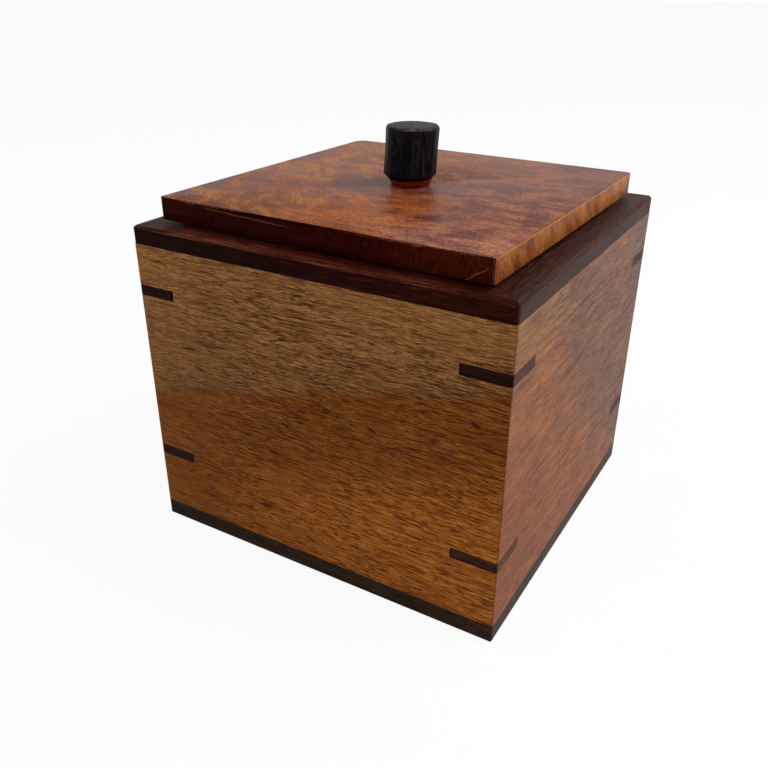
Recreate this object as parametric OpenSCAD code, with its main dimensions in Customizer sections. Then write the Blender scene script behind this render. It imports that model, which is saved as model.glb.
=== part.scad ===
// A square wooden box with mitred corners and spline keys. Its lid is held by four sliding bolts that a
// spiral-slotted disc under the lid draws in and throws out, and one of the keys is loose: pushed home, it
// holds the disc still. The origin is the middle of the underside; +X is right, +Y is back and +Z is up.

/* [Box] */
// Width of the box across the front
body_w = 115; // [110:1:130]
// Depth of the box from front to back
body_d = 111; // [108:1:130]
// Height of the four wall panels
panel_h = 86.2; // [80:0.1:110]
// Thickness of the wall panels
wall_t = 9.5; // [9:0.1:10]

/* [Rim and base] */
// Height of the dark rim strips
rim_h = 5.2; // [4:0.1:8]
// Width of the rim strips
rim_w = 14; // [13.5:0.1:15]
// Bevel along the rim's outer top edge
rim_bevel = 0.9; // [0.3:0.1:1.5]
// Height of the dark base strips
base_h = 5.7; // [5:0.1:8]
// Width of the base strips
base_w = 12; // [11:0.5:14]
// Bevel along the base's outer bottom edge
base_bevel = 0.6; // [0.2:0.1:1]
// Thickness of the bottom panel's edge, which sits in the base strips
bottom_edge_t = 2.7; // [2:0.1:3.5]
// How far the bottom panel's edge reaches into the base strips
bottom_rebate = 6; // [4:0.5:7]

/* [Spline keys] */
// Thickness of the keys and of their slots
key_t = 3.2; // [2.8:0.1:3.6]
// Length of a glued key along each wall
key_leg = 13.5; // [11:0.1:14.5]
// Height of the lower keys' middle above the bottom of the walls
lower_key_rise = 19.5; // [12:0.5:30]
// Depth of the upper keys' middle below the top of the walls
upper_key_drop = 13.6; // [13:0.1:15]

/* [Secret key] */
// Length of the secret key's slot along each wall
secret_slot_leg = 12.7; // [12:0.1:13.5]
// How much shorter than its slot the secret key is, along each wall
secret_key_short = 0.8; // [0.5:0.1:1.2]
// Width of the secret key's blunt ends
secret_key_blunt = 1; // [0.5:0.1:1.5]
// Width of the tongue where it slides in the corner
tongue_w = 5; // [4:0.5:6]
// Thickness of the tongue
tongue_t = 2.6; // [2:0.1:2.8]
// Width of the tongue's nose
nose_w = 8; // [7:0.5:9]
// How far the secret key draws out before the nose meets the guide
key_draw = 8; // [5:0.5:9]
// Gap between the nose and the disc while the key is flush with the walls
nose_gap = 0.15; // [0.1:0.05:0.2]
// Height of the guide block in the corner
guide_h = 10; // [7:0.5:10]

/* [Lid] */
// How far the lid stands back from the sides of the box
lid_inset_x = 7; // [5:0.5:9]
// How far the lid stands back from the front and back of the box
lid_inset_y = 5; // [4:0.5:8]
// Thickness of the lid
lid_t = 6.3; // [4:0.1:9]
// Turn of the lid panel on its plug, in degrees, as it is glued on
lid_turn = -0.9; // [-2:0.1:2]
// Height of the shadow line between the rim and the lid
lid_gap = 1.2; // [0.8:0.1:2]
// How far the plug's flange reaches out over the rim
flange_reach = 4; // [3:0.5:5]

/* [Bolts] */
// Width of a bolt
bolt_w = 14; // [12:0.5:16]
// Thickness of a bolt
bolt_t = 5; // [4:0.1:5.5]
// How far a drawn bolt stands back from the plug's side
bolt_inset = 0.5; // [0.3:0.1:0.8]
// Distance of a drawn bolt's pin from the disc's centre
pin_in_r = 22; // [21:0.5:23]
// Length of the bolt behind its pin
bolt_tail = 5; // [4:0.5:6]
// Diameter of the bolt pins
pin_d = 3; // [2.5:0.1:3.5]

/* [Disc] */
// Diameter of the scroll disc
disc_d = 70; // [68:0.5:71]
// Thickness of the scroll disc
disc_t = 3.6; // [3:0.1:4.2]
// Turn of the knob from bolts drawn to bolts thrown, in degrees
knob_turn = 60; // [50:1:66]
// Depth of the notches that the nose enters
notch_depth = 1.2; // [0.9:0.1:2]

/* [Cover] */
// Thickness of the cover plate
cover_t = 3; // [2.5:0.1:4]
// Distance of the cover screws from the plug's left and right sides
screw_edge = 5.2; // [4:0.1:6]
// Distance of the cover screws from the middle, front to back
screw_row = 22; // [18:0.5:28]
// Shank diameter of the cover screws
screw_d = 2.5; // [2:0.1:3]
// Head diameter of the cover screws
screw_head_d = 5; // [4.4:0.1:5.6]
// Length of the cover screws
screw_len = 11; // [8:0.5:14]
// Diameter of the hole in the cover for the disc's screw
access_d = 14; // [13:0.5:18]

/* [Knob and spindle] */
// Diameter of the knob
knob_d = 15.6; // [13:0.1:20]
// Height of the knob above its collar
knob_h = 14.7; // [10:0.1:22]
// Width of the bevel round the knob's top
knob_top_bevel = 0.8; // [0.4:0.1:1.5]
// Width of the bevel round the knob's foot
knob_foot_bevel = 1.2; // [0.5:0.1:1.6]
// Diameter of the collar under the knob
collar_d = 12.8; // [11:0.1:13]
// Thickness of the collar
collar_t = 2; // [1.5:0.1:3]
// Diameter of the spindle
spindle_d = 6; // [5.8:0.1:7]
// Depth of the spindle's hole in the knob
knob_hole_depth = 10; // [6:0.5:10]
// Width of the square end that drives the disc
square_w = 4.1; // [3.8:0.1:4.1]
// Diameter of the washer under the disc
washer_d = 10; // [8:0.5:12]
// Thickness of the washer
washer_t = 1; // [0.8:0.1:1.4]
// Shank diameter of the disc's screw
disc_screw_d = 2.4; // [2:0.1:2.6]
// Head diameter of the disc's screw
disc_screw_head_d = 5.4; // [4.6:0.1:6]
// Head height of the disc's screw
disc_screw_head_h = 1.8; // [1.2:0.1:1.8]
// Length of the disc's screw in the spindle
disc_screw_len = 8; // [5:0.5:12]

/* [Clearances] */
// Gap round the plug in the rim's opening
plug_gap = 0.3; // [0.2:0.05:0.4]
// Gap between a thrown bolt and the wall
bolt_wall_gap = 0.3; // [0.2:0.05:0.5]
// Lift that the lid has before the thrown bolts catch under the rim
bolt_catch_gap = 0.4; // [0.3:0.05:0.5]
// Gap on each side of a sliding piece
slide_gap = 0.1; // [0.05:0.01:0.15]
// Gap between the turning disc and the wood round it
disc_gap = 0.3; // [0.2:0.05:0.4]
// Radial gap of the spindle in the lid
run_gap = 0.05; // [0.02:0.01:0.08]
// Gap of a glued or driven piece in its hole
glue_gap = 0.03; // [0.02:0.01:0.05]

/* [Hidden] */

$fn = 96;
// A cut runs this far past the face it opens
cut = 1;
// Directions of the four sides and bolts, as turns about the box's middle
FRONT = 0;
RIGHT = 90;
BACK = 180;
LEFT = 270;
// Directions of the corners, as signs of x and y
FRONT_RIGHT = [1, -1];
BACK_RIGHT = [1, 1];
BACK_LEFT = [-1, 1];
FRONT_LEFT = [-1, -1];

// Levels of the box
panel_top = base_h + panel_h;
rim_top = panel_top + rim_h;
lower_key_z = base_h + lower_key_rise;
upper_key_z = panel_top - upper_key_drop;

// Levels of the lid and its mechanism, from the top down
lid_z = rim_top + lid_gap;
lid_top = lid_z + lid_t;
bolt_top = panel_top - bolt_catch_gap;
bolt_z = bolt_top - bolt_t;
plug_z = bolt_top + slide_gap;
channel_z = bolt_z - slide_gap;
disc_z = upper_key_z - disc_t / 2;
disc_top = disc_z + disc_t;
pocket_top = disc_top + disc_gap;
bed_z = disc_z - disc_gap;
cover_z = bed_z - cover_t;
washer_z = disc_z - washer_t;

// Plan sizes of the lid and its mechanism
lid_w = body_w - 2 * lid_inset_x;
lid_d = body_d - 2 * lid_inset_y;
plug_w = body_w - 2 * (rim_w + plug_gap);
plug_d = body_d - 2 * (rim_w + plug_gap);
disc_r = disc_d / 2;
pocket_r = disc_r + disc_gap;
bolt_throw = rim_w + plug_gap + bolt_inset - wall_t - bolt_wall_gap;
pin_r = pin_d / 2;
spindle_r = spindle_d / 2;
tail_r = pin_in_r - bolt_tail;
// Share of a bolt's thickness that its pin is glued into
pin_bury_share = 0.7;
pin_bury = bolt_t * pin_bury_share;
// Width of a screw's slot, as a share of its head's diameter
screw_slot_share = 0.16;

// The secret key's corner, measured along the diagonal from the outer corner of the walls
tongue_z = upper_key_z - tongue_t / 2;
slot_floor = secret_slot_leg / sqrt(2);
key_back = (secret_slot_leg - secret_key_short) / sqrt(2);
inner_corner = wall_t * sqrt(2);
// How far the guide block stands clear of the plug's corner, along each wall
guide_clear = 0.6;
guide_leg = 2 * (rim_w + plug_gap - wall_t) - guide_clear;
guide_end = inner_corner + guide_leg / sqrt(2);
centre_along = (body_w + body_d) / 2 / sqrt(2);
nose_tip = centre_along - disc_r - nose_gap;
nose_back = guide_end + key_draw + slide_gap;
// Length of the tongue that is glued into the key
tongue_in_key = 5;
tongue_root = key_back - tongue_in_key;
// What is left between the key and its slot's floor when it is pushed home
push_stop = 0.06;
key_push = slot_floor - key_back - push_stop;

// ---------- shared shapes ----------

// A bar along one side of the box, mitred at both ends; its section is drawn inward from the outer face
module mitred_bar(side, depth_in) {
    length = side % 180 == 0 ? body_w : body_d;
    across = side % 180 == 0 ? body_d : body_w;
    reach = 2 * rim_top;
    rotate([0, 0, side])
        intersection() {
            translate([-length / 2, -across / 2, 0])
                rotate([90, 0, 90])
                    linear_extrude(length)
                        children();
            translate([0, 0, -cut])
                linear_extrude(reach)
                    polygon([
                        [-length / 2, -across / 2],
                        [length / 2, -across / 2],
                        [length / 2 - depth_in, -across / 2 + depth_in],
                        [-length / 2 + depth_in, -across / 2 + depth_in]
                    ]);
        }
}

// An upright prism at a corner of the box; the outline is drawn inward from that corner
module corner_prism(corner, z, h, outline) {
    translate([0, 0, z])
        linear_extrude(h)
            polygon([
                for (p = outline) [corner[0] * (body_w / 2 - p[0]), corner[1] * (body_d / 2 - p[1])]
            ]);
}

// The saw cut for a spline key; its floor runs straight across the corner
module key_slot(corner, z, leg) {
    corner_prism(corner, z - key_t / 2, key_t, [[-cut, -cut], [leg + cut, -cut], [-cut, leg + cut]]);
}

module glued_key(corner, z) {
    color("#2b1a16")
        corner_prism(corner, z - key_t / 2, key_t, [[0, 0], [key_leg, 0], [0, key_leg]]);
}

// Stands a child at the front left corner with +X along the diagonal, towards the middle
module from_secret_corner() {
    translate([-body_w / 2, -body_d / 2, 0])
        rotate([0, 0, 45])
            children();
}

module diagonal_bar(from, to, width, z, h) {
    from_secret_corner()
        translate([from, -width / 2, z])
            cube([to - from, width, h]);
}

module box_on_axis(w, d, z, h) {
    translate([-w / 2, -d / 2, z])
        cube([w, d, h]);
}

module rod(r, z, h) {
    translate([0, 0, z])
        cylinder(r = r, h = h);
}

// ---------- walls, rim and base ----------

module wall_panel(side, corners) {
    difference() {
        mitred_bar(side, wall_t)
            translate([0, base_h])
                square([wall_t, panel_h]);
        for (corner = corners) {
            key_slot(corner, lower_key_z, key_leg);
            key_slot(corner, upper_key_z, corner == FRONT_LEFT ? secret_slot_leg : key_leg);
        }
        if (side == FRONT || side == LEFT)
            tongue_mortise();
    }
}

// The passage that the tongue slides through
module tongue_mortise() {
    diagonal_bar(
        slot_floor - cut, guide_end + cut, tongue_w + 2 * slide_gap,
        tongue_z - slide_gap, tongue_t + 2 * slide_gap
    );
}

module rim_strip(side) {
    color("#35201a")
        mitred_bar(side, rim_w)
            translate([0, panel_top])
                polygon([[0, 0], [rim_w, 0], [rim_w, rim_h], [rim_bevel, rim_h], [0, rim_h - rim_bevel]]);
}

module base_strip(side) {
    ledge = base_h - bottom_edge_t;
    color("#35201a")
        mitred_bar(side, base_w)
            polygon([
                [base_bevel, 0], [base_w, 0], [base_w, ledge], [bottom_rebate, ledge],
                [bottom_rebate, base_h], [0, base_h], [0, base_bevel]
            ]);
}

module front_panel() {
    color("#9c6a35") wall_panel(FRONT, [FRONT_LEFT, FRONT_RIGHT]);
}

module back_panel() {
    color("#9c6a35") wall_panel(BACK, [BACK_LEFT, BACK_RIGHT]);
}

module left_panel() {
    color("#a87350") wall_panel(LEFT, [FRONT_LEFT, BACK_LEFT]);
}

module right_panel() {
    color("#a87350") wall_panel(RIGHT, [FRONT_RIGHT, BACK_RIGHT]);
}

// A thin edge lies on the base strips' ledge, and the thicker field comes down flush with their feet
module bottom_panel() {
    field_w = body_w - 2 * (base_w + slide_gap);
    field_d = body_d - 2 * (base_w + slide_gap);
    color("#c29a6b")
        union() {
            box_on_axis(field_w, field_d, 0, base_h - bottom_edge_t / 2);
            box_on_axis(
                body_w - 2 * bottom_rebate, body_d - 2 * bottom_rebate,
                base_h - bottom_edge_t, bottom_edge_t
            );
        }
}

// ---------- secret key ----------

module secret_key() {
    leg = secret_slot_leg - secret_key_short - secret_key_blunt;
    color("#16151a")
        difference() {
            corner_prism(FRONT_LEFT, upper_key_z - key_t / 2 + slide_gap, key_t - 2 * slide_gap, [
                [0, 0], [leg, 0], [leg, secret_key_blunt], [secret_key_blunt, leg], [0, leg]
            ]);
            diagonal_bar(tongue_root, guide_end, tongue_w, tongue_z, tongue_t);
        }
}

// The blade that runs from the key through the corner; its wider nose stops the key from coming out
module key_tongue() {
    color("#c9a24a")
        union() {
            diagonal_bar(tongue_root, nose_back + cut, tongue_w, tongue_z, tongue_t);
            diagonal_bar(nose_back, nose_tip, nose_w, tongue_z, tongue_t);
        }
}

module key_guide() {
    corner = [body_w / 2 - wall_t, body_d / 2 - wall_t];
    color("#c29a6b")
        difference() {
            translate([0, 0, upper_key_z - guide_h / 2])
                linear_extrude(guide_h)
                    polygon([
                        [-corner[0], -corner[1]],
                        [-corner[0] + guide_leg, -corner[1]],
                        [-corner[0], -corner[1] + guide_leg]
                    ]);
            tongue_mortise();
        }
}

// ---------- lid ----------

module lid_panel() {
    color("#a5552d")
        difference() {
            rotate([0, 0, lid_turn])
                box_on_axis(lid_w, lid_d, lid_z, lid_t);
            rod(spindle_r + run_gap, lid_z - cut, lid_t + 2 * cut);
        }
}

// The plug fills the rim's opening, and its thin flange rests on the rim
module lid_plug() {
    color("#3a2620")
        difference() {
            union() {
                box_on_axis(plug_w, plug_d, plug_z, lid_z - plug_z);
                box_on_axis(
                    plug_w + 2 * (plug_gap + flange_reach), plug_d + 2 * (plug_gap + flange_reach),
                    rim_top, lid_gap
                );
            }
            rod(spindle_r + disc_gap, plug_z - cut, lid_z - plug_z + 2 * cut);
        }
}

// Distance from the middle to the plug's side that a bolt comes out of
function plug_half(side) = (side % 180 == 0 ? plug_d : plug_w) / 2;

// Lays a child along the line of a bolt, with +X pointing out of the box
module along_bolt(side) {
    rotate([0, 0, side - 90])
        children();
}

module bolt_channel(side) {
    start = tail_r - disc_gap;
    width = bolt_w + 2 * slide_gap;
    along_bolt(side)
        translate([start, -width / 2, channel_z])
            cube([plug_half(side) + cut - start, width, plug_z - channel_z + cut]);
}

module pin_slot(side) {
    r = pin_r + disc_gap;
    along_bolt(side)
        translate([0, 0, pocket_top - cut])
            linear_extrude(channel_z - pocket_top + 2 * cut) {
                translate([pin_in_r, 0])
                    circle(r = r);
                translate([pin_in_r + bolt_throw, 0])
                    circle(r = r);
                translate([pin_in_r, -r])
                    square([bolt_throw, 2 * r]);
            }
}

// The way past the tongue for the lid as it lifts, from the disc's edge out through the corner
module tongue_way(z, h) {
    diagonal_bar(0, nose_tip + key_push + 2 * disc_gap, nose_w + 4 * slide_gap, z, h);
}

module at_cover_screws() {
    for (x = [-1, 1], y = [-1, 1])
        translate([x * (plug_w / 2 - screw_edge), y * screw_row, 0])
            children();
}

module bolt_bed() {
    color("#c29a6b")
        difference() {
            box_on_axis(plug_w, plug_d, bed_z, plug_z - bed_z);
            rod(pocket_r, bed_z - cut, pocket_top - bed_z + cut);
            rod(spindle_r + disc_gap, bed_z, plug_z - bed_z + cut);
            for (side = [FRONT, RIGHT, BACK, LEFT]) {
                bolt_channel(side);
                pin_slot(side);
            }
            tongue_way(bed_z - cut, tongue_z + tongue_t + disc_gap - bed_z + cut);
            at_cover_screws()
                rod(screw_d / 2 + glue_gap, bed_z - cut, screw_len - cover_t + 2 * cut);
        }
}

module cover_plate() {
    sink = (screw_head_d - screw_d) / 2;
    color("#c29a6b")
        difference() {
            box_on_axis(plug_w, plug_d, cover_z, cover_t);
            rod(access_d / 2, cover_z - cut, cover_t + 2 * cut);
            tongue_way(cover_z - cut, cover_t + 2 * cut);
            at_cover_screws() {
                rod(screw_d / 2 + glue_gap, cover_z - cut, cover_t + 2 * cut);
                translate([0, 0, cover_z])
                    cylinder(r1 = screw_head_d / 2 + glue_gap, r2 = screw_d / 2 + glue_gap, h = sink);
            }
        }
}

module cover_screws() {
    sink = (screw_head_d - screw_d) / 2;
    slot_w = screw_head_d * screw_slot_share;
    color("#b9b4a8")
        at_cover_screws()
            difference() {
                union() {
                    rod(screw_d / 2, cover_z + sink / 2, screw_len - sink / 2);
                    translate([0, 0, cover_z])
                        cylinder(r1 = screw_head_d / 2, r2 = screw_d / 2, h = sink);
                }
                translate([-screw_head_d, -slot_w / 2, cover_z - cut])
                    cube([2 * screw_head_d, slot_w, cut + sink / 2]);
            }
}

// ---------- knob, spindle and disc ----------

module knob() {
    r = knob_d / 2;
    z = lid_top + collar_t;
    color("#17120f")
        difference() {
            translate([0, 0, z])
                rotate_extrude()
                    polygon([
                        [0, 0], [r - knob_foot_bevel, 0], [r, knob_foot_bevel],
                        [r, knob_h - knob_top_bevel], [r - knob_top_bevel, knob_h], [0, knob_h]
                    ]);
            rod(spindle_r + glue_gap, z - cut, knob_hole_depth + cut);
        }
}

module knob_collar() {
    color("#5a1512")
        difference() {
            rod(collar_d / 2, lid_top + slide_gap, collar_t - slide_gap);
            rod(spindle_r + glue_gap, lid_top - cut, collar_t + 2 * cut);
        }
}

// A round rod whose lower end is squared to drive the disc
module spindle() {
    top = lid_top + collar_t + knob_hole_depth - slide_gap;
    color("#c9a24a")
        difference() {
            union() {
                rod(spindle_r, disc_top, top - disc_top);
                box_on_axis(square_w, square_w, disc_z, disc_t + cut);
            }
            rod(disc_screw_d / 2 + glue_gap, disc_z - cut, disc_screw_len + 2 * cut);
        }
}

// Half the width of a spiral slot, and the middle of its path for a share of the knob's turn
slot_half = pin_r + slide_gap;
function spiral_r(share) = pin_in_r + bolt_throw * share;
function spiral_point(share, side) =
    let (grade = bolt_throw / (knob_turn * PI / 180), r = spiral_r(share), lean = atan(grade / r))
    [
        r * cos(-knob_turn * share) + side * slot_half * cos(-knob_turn * share + lean),
        r * sin(-knob_turn * share) + side * slot_half * sin(-knob_turn * share + lean)
    ];

// A spiral slot that carries its pin outward as the disc turns, with a round seat at each end
module spiral_slot() {
    steps = 24;
    polygon([
        for (i = [0:steps]) spiral_point(i / steps, 1),
        for (i = [steps:-1:0]) spiral_point(i / steps, -1)
    ]);
    translate([pin_in_r, 0])
        circle(r = slot_half);
    rotate([0, 0, -knob_turn])
        translate([spiral_r(1), 0])
            circle(r = slot_half);
}

module nose_notch() {
    diagonal_bar(
        nose_tip - cut, nose_tip + nose_gap + notch_depth, nose_w + 4 * slide_gap,
        disc_z - cut, disc_t + 2 * cut
    );
}

module scroll_disc() {
    hole = square_w + 2 * glue_gap;
    color("#d8b98a")
        difference() {
            rod(disc_r, disc_z, disc_t);
            box_on_axis(hole, hole, disc_z - cut, disc_t + 2 * cut);
            for (side = [FRONT, RIGHT, BACK, LEFT])
                along_bolt(side)
                    translate([0, 0, disc_z - cut])
                        linear_extrude(disc_t + 2 * cut)
                            spiral_slot();
            nose_notch();
            rotate([0, 0, -knob_turn])
                nose_notch();
        }
}

module disc_washer() {
    color("#c9a24a")
        difference() {
            rod(washer_d / 2, washer_z, washer_t);
            rod(disc_screw_d / 2 + glue_gap, washer_z - cut, washer_t + 2 * cut);
        }
}

module disc_screw() {
    head_z = washer_z - disc_screw_head_h;
    slot_w = disc_screw_head_d * screw_slot_share;
    color("#b9b4a8")
        difference() {
            union() {
                rod(disc_screw_head_d / 2, head_z, disc_screw_head_h);
                rod(disc_screw_d / 2, washer_z - cut / 2, washer_t + disc_screw_len + cut / 2);
            }
            translate([-disc_screw_head_d, -slot_w / 2, head_z - cut])
                cube([2 * disc_screw_head_d, slot_w, cut + disc_screw_head_h / 2]);
        }
}

// ---------- bolts ----------

module bolt(side) {
    length = plug_half(side) - bolt_inset - tail_r;
    color("#8a4f2c")
        difference() {
            along_bolt(side)
                translate([tail_r, -bolt_w / 2, bolt_z])
                    cube([length, bolt_w, bolt_t]);
            along_bolt(side)
                translate([pin_in_r, 0, 0])
                    rod(pin_r + glue_gap, bolt_z - cut, pin_bury + cut);
        }
}

// A pin glued into the bolt from below, which reaches down through the bed into the disc's slot
module bolt_pin(side) {
    foot = disc_z + slide_gap;
    color("#c9a24a")
        along_bolt(side)
            translate([pin_in_r, 0, 0])
                rod(pin_r, foot, bolt_z + pin_bury - foot - glue_gap);
}

// ---------- pieces ----------

front_panel();
back_panel();
left_panel();
right_panel();
bottom_panel();
base_strip(FRONT);  // base_front_strip
base_strip(BACK);  // base_back_strip
base_strip(LEFT);  // base_left_strip
base_strip(RIGHT);  // base_right_strip
rim_strip(FRONT);  // rim_front_strip
rim_strip(BACK);  // rim_back_strip
rim_strip(LEFT);  // rim_left_strip
rim_strip(RIGHT);  // rim_right_strip
glued_key(FRONT_RIGHT, upper_key_z);  // key_front_right_upper
glued_key(FRONT_RIGHT, lower_key_z);  // key_front_right_lower
glued_key(BACK_RIGHT, upper_key_z);  // key_back_right_upper
glued_key(BACK_RIGHT, lower_key_z);  // key_back_right_lower
glued_key(BACK_LEFT, upper_key_z);  // key_back_left_upper
glued_key(BACK_LEFT, lower_key_z);  // key_back_left_lower
glued_key(FRONT_LEFT, lower_key_z);  // key_front_left_lower
secret_key();
key_tongue();
key_guide();
lid_panel();
lid_plug();
bolt_bed();
cover_plate();
cover_screws();
knob();
knob_collar();
spindle();
scroll_disc();
disc_washer();
disc_screw();
bolt(RIGHT);  // bolt_right
bolt(BACK);  // bolt_back
bolt(LEFT);  // bolt_left
bolt(FRONT);  // bolt_front
bolt_pin(RIGHT);  // bolt_pin_right
bolt_pin(BACK);  // bolt_pin_back
bolt_pin(LEFT);  // bolt_pin_left
bolt_pin(FRONT);  // bolt_pin_front
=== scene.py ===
import math

import bmesh
import bpy
from mathutils import Matrix, Vector


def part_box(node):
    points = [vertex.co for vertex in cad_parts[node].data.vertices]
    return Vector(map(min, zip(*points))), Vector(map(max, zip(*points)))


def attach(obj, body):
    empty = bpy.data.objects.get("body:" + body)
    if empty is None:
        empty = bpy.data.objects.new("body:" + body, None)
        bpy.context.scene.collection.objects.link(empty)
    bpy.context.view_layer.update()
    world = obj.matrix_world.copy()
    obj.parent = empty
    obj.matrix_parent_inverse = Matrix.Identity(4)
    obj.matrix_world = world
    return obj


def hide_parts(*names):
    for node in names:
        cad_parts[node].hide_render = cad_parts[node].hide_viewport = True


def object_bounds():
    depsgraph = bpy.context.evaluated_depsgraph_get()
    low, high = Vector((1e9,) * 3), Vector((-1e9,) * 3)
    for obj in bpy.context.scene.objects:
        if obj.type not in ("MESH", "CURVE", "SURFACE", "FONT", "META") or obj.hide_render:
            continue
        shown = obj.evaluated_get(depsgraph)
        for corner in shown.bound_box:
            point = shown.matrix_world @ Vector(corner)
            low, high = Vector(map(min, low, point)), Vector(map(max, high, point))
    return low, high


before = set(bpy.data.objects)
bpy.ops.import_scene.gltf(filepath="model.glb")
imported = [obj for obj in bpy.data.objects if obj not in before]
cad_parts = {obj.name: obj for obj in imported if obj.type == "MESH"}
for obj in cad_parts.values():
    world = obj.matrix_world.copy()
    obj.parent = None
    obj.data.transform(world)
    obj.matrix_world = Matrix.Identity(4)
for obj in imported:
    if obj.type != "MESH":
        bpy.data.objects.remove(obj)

# A wooden puzzle box: mitred walls with spline keys, dark rim and base, and a figured lid with an ebony
# knob that drives four bolts. Lengths are in metres unless a name ends in _mm, +X is right, +Y is back.

MM = 0.001
WHITE = (1.0, 1.0, 1.0)
cad_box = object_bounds()


# ---------- mixing finishes ----------

class Bench:
    """A tree built node by node. Sockets are passed about, and plain numbers stand for themselves."""

    def __init__(self, tree):
        self.tree = tree
        tree.nodes.clear()

    def add(self, kind, **settings):
        node = self.tree.nodes.new(kind)
        for key, value in settings.items():
            setattr(node, key, value)
        return node

    def join(self, value, socket):
        if isinstance(value, bpy.types.NodeSocket):
            self.tree.links.new(value, socket)
        elif isinstance(value, (tuple, list)) and socket.type == "RGBA":
            socket.default_value = tuple(value) + (1.0,) * (4 - len(value))
        else:
            socket.default_value = value

    def maths(self, kind, a, b=0.0, c=0.0):
        node = self.add("ShaderNodeMath", operation=kind)
        for socket, value in zip(node.inputs, (a, b, c)):
            self.join(value, socket)
        return node.outputs[0]

    def product(self, first, *others):
        for other in others:
            first = self.maths("MULTIPLY", first, other)
        return first

    def plus(self, value, pattern, amount):
        """A value shifted by a pattern times an amount."""
        return self.maths("MULTIPLY_ADD", pattern, amount, value)

    def vector(self, kind, a, b=(0.0, 0.0, 0.0)):
        node = self.add("ShaderNodeVectorMath", operation=kind)
        self.join(a, node.inputs[0])
        if kind == "SCALE":
            self.join(b, node.inputs["Scale"])
        else:
            self.join(b, node.inputs[1])
        return node.outputs[0]

    def split(self, vector):
        node = self.add("ShaderNodeSeparateXYZ")
        self.join(vector, node.inputs[0])
        return node.outputs

    def pack(self, x, y, z):
        node = self.add("ShaderNodeCombineXYZ")
        for socket, value in zip(node.inputs, (x, y, z)):
            self.join(value, socket)
        return node.outputs[0]

    def noise(self, vector, detail=2.0, roughness=0.5, distortion=0.0):
        node = self.add("ShaderNodeTexNoise", noise_dimensions="3D")
        self.join(vector, node.inputs["Vector"])
        node.inputs["Scale"].default_value = 1.0
        node.inputs["Detail"].default_value = detail
        node.inputs["Roughness"].default_value = roughness
        node.inputs["Distortion"].default_value = distortion
        return node.outputs[0]

    def span(self, value, start, end, low=0.0, high=1.0, smooth=True):
        """Takes start..end to low..high and holds the ends."""
        node = self.add("ShaderNodeMapRange", interpolation_type="SMOOTHSTEP" if smooth else "LINEAR")
        parts = {"Value": value, "From Min": start, "From Max": end, "To Min": low, "To Max": high}
        for label, part in parts.items():
            self.join(part, node.inputs[label])
        return node.outputs["Result"]

    def near(self, value, place, outer, inner):
        """1 within the inner distance of a place, falling to 0 at the outer one."""
        return self.span(self.maths("ABSOLUTE", self.maths("SUBTRACT", value, place)), outer, inner)

    def seen_directly(self):
        """1 for camera rays and for those that metal or glass sends on, and 0 for all others."""
        rays = self.add("ShaderNodeLightPath").outputs
        seen = self.maths("MAXIMUM", rays["Is Camera Ray"], rays["Is Glossy Ray"])
        return self.maths("MAXIMUM", seen, rays["Is Transmission Ray"])

    def blend(self, amount, first, second, surface):
        """Ends a tree with a share of one shader and the rest of another."""
        node = self.add("ShaderNodeMixShader")
        for socket, value in zip(node.inputs, (amount, first, second)):
            self.join(value, socket)
        self.join(node.outputs[0], surface)


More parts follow.
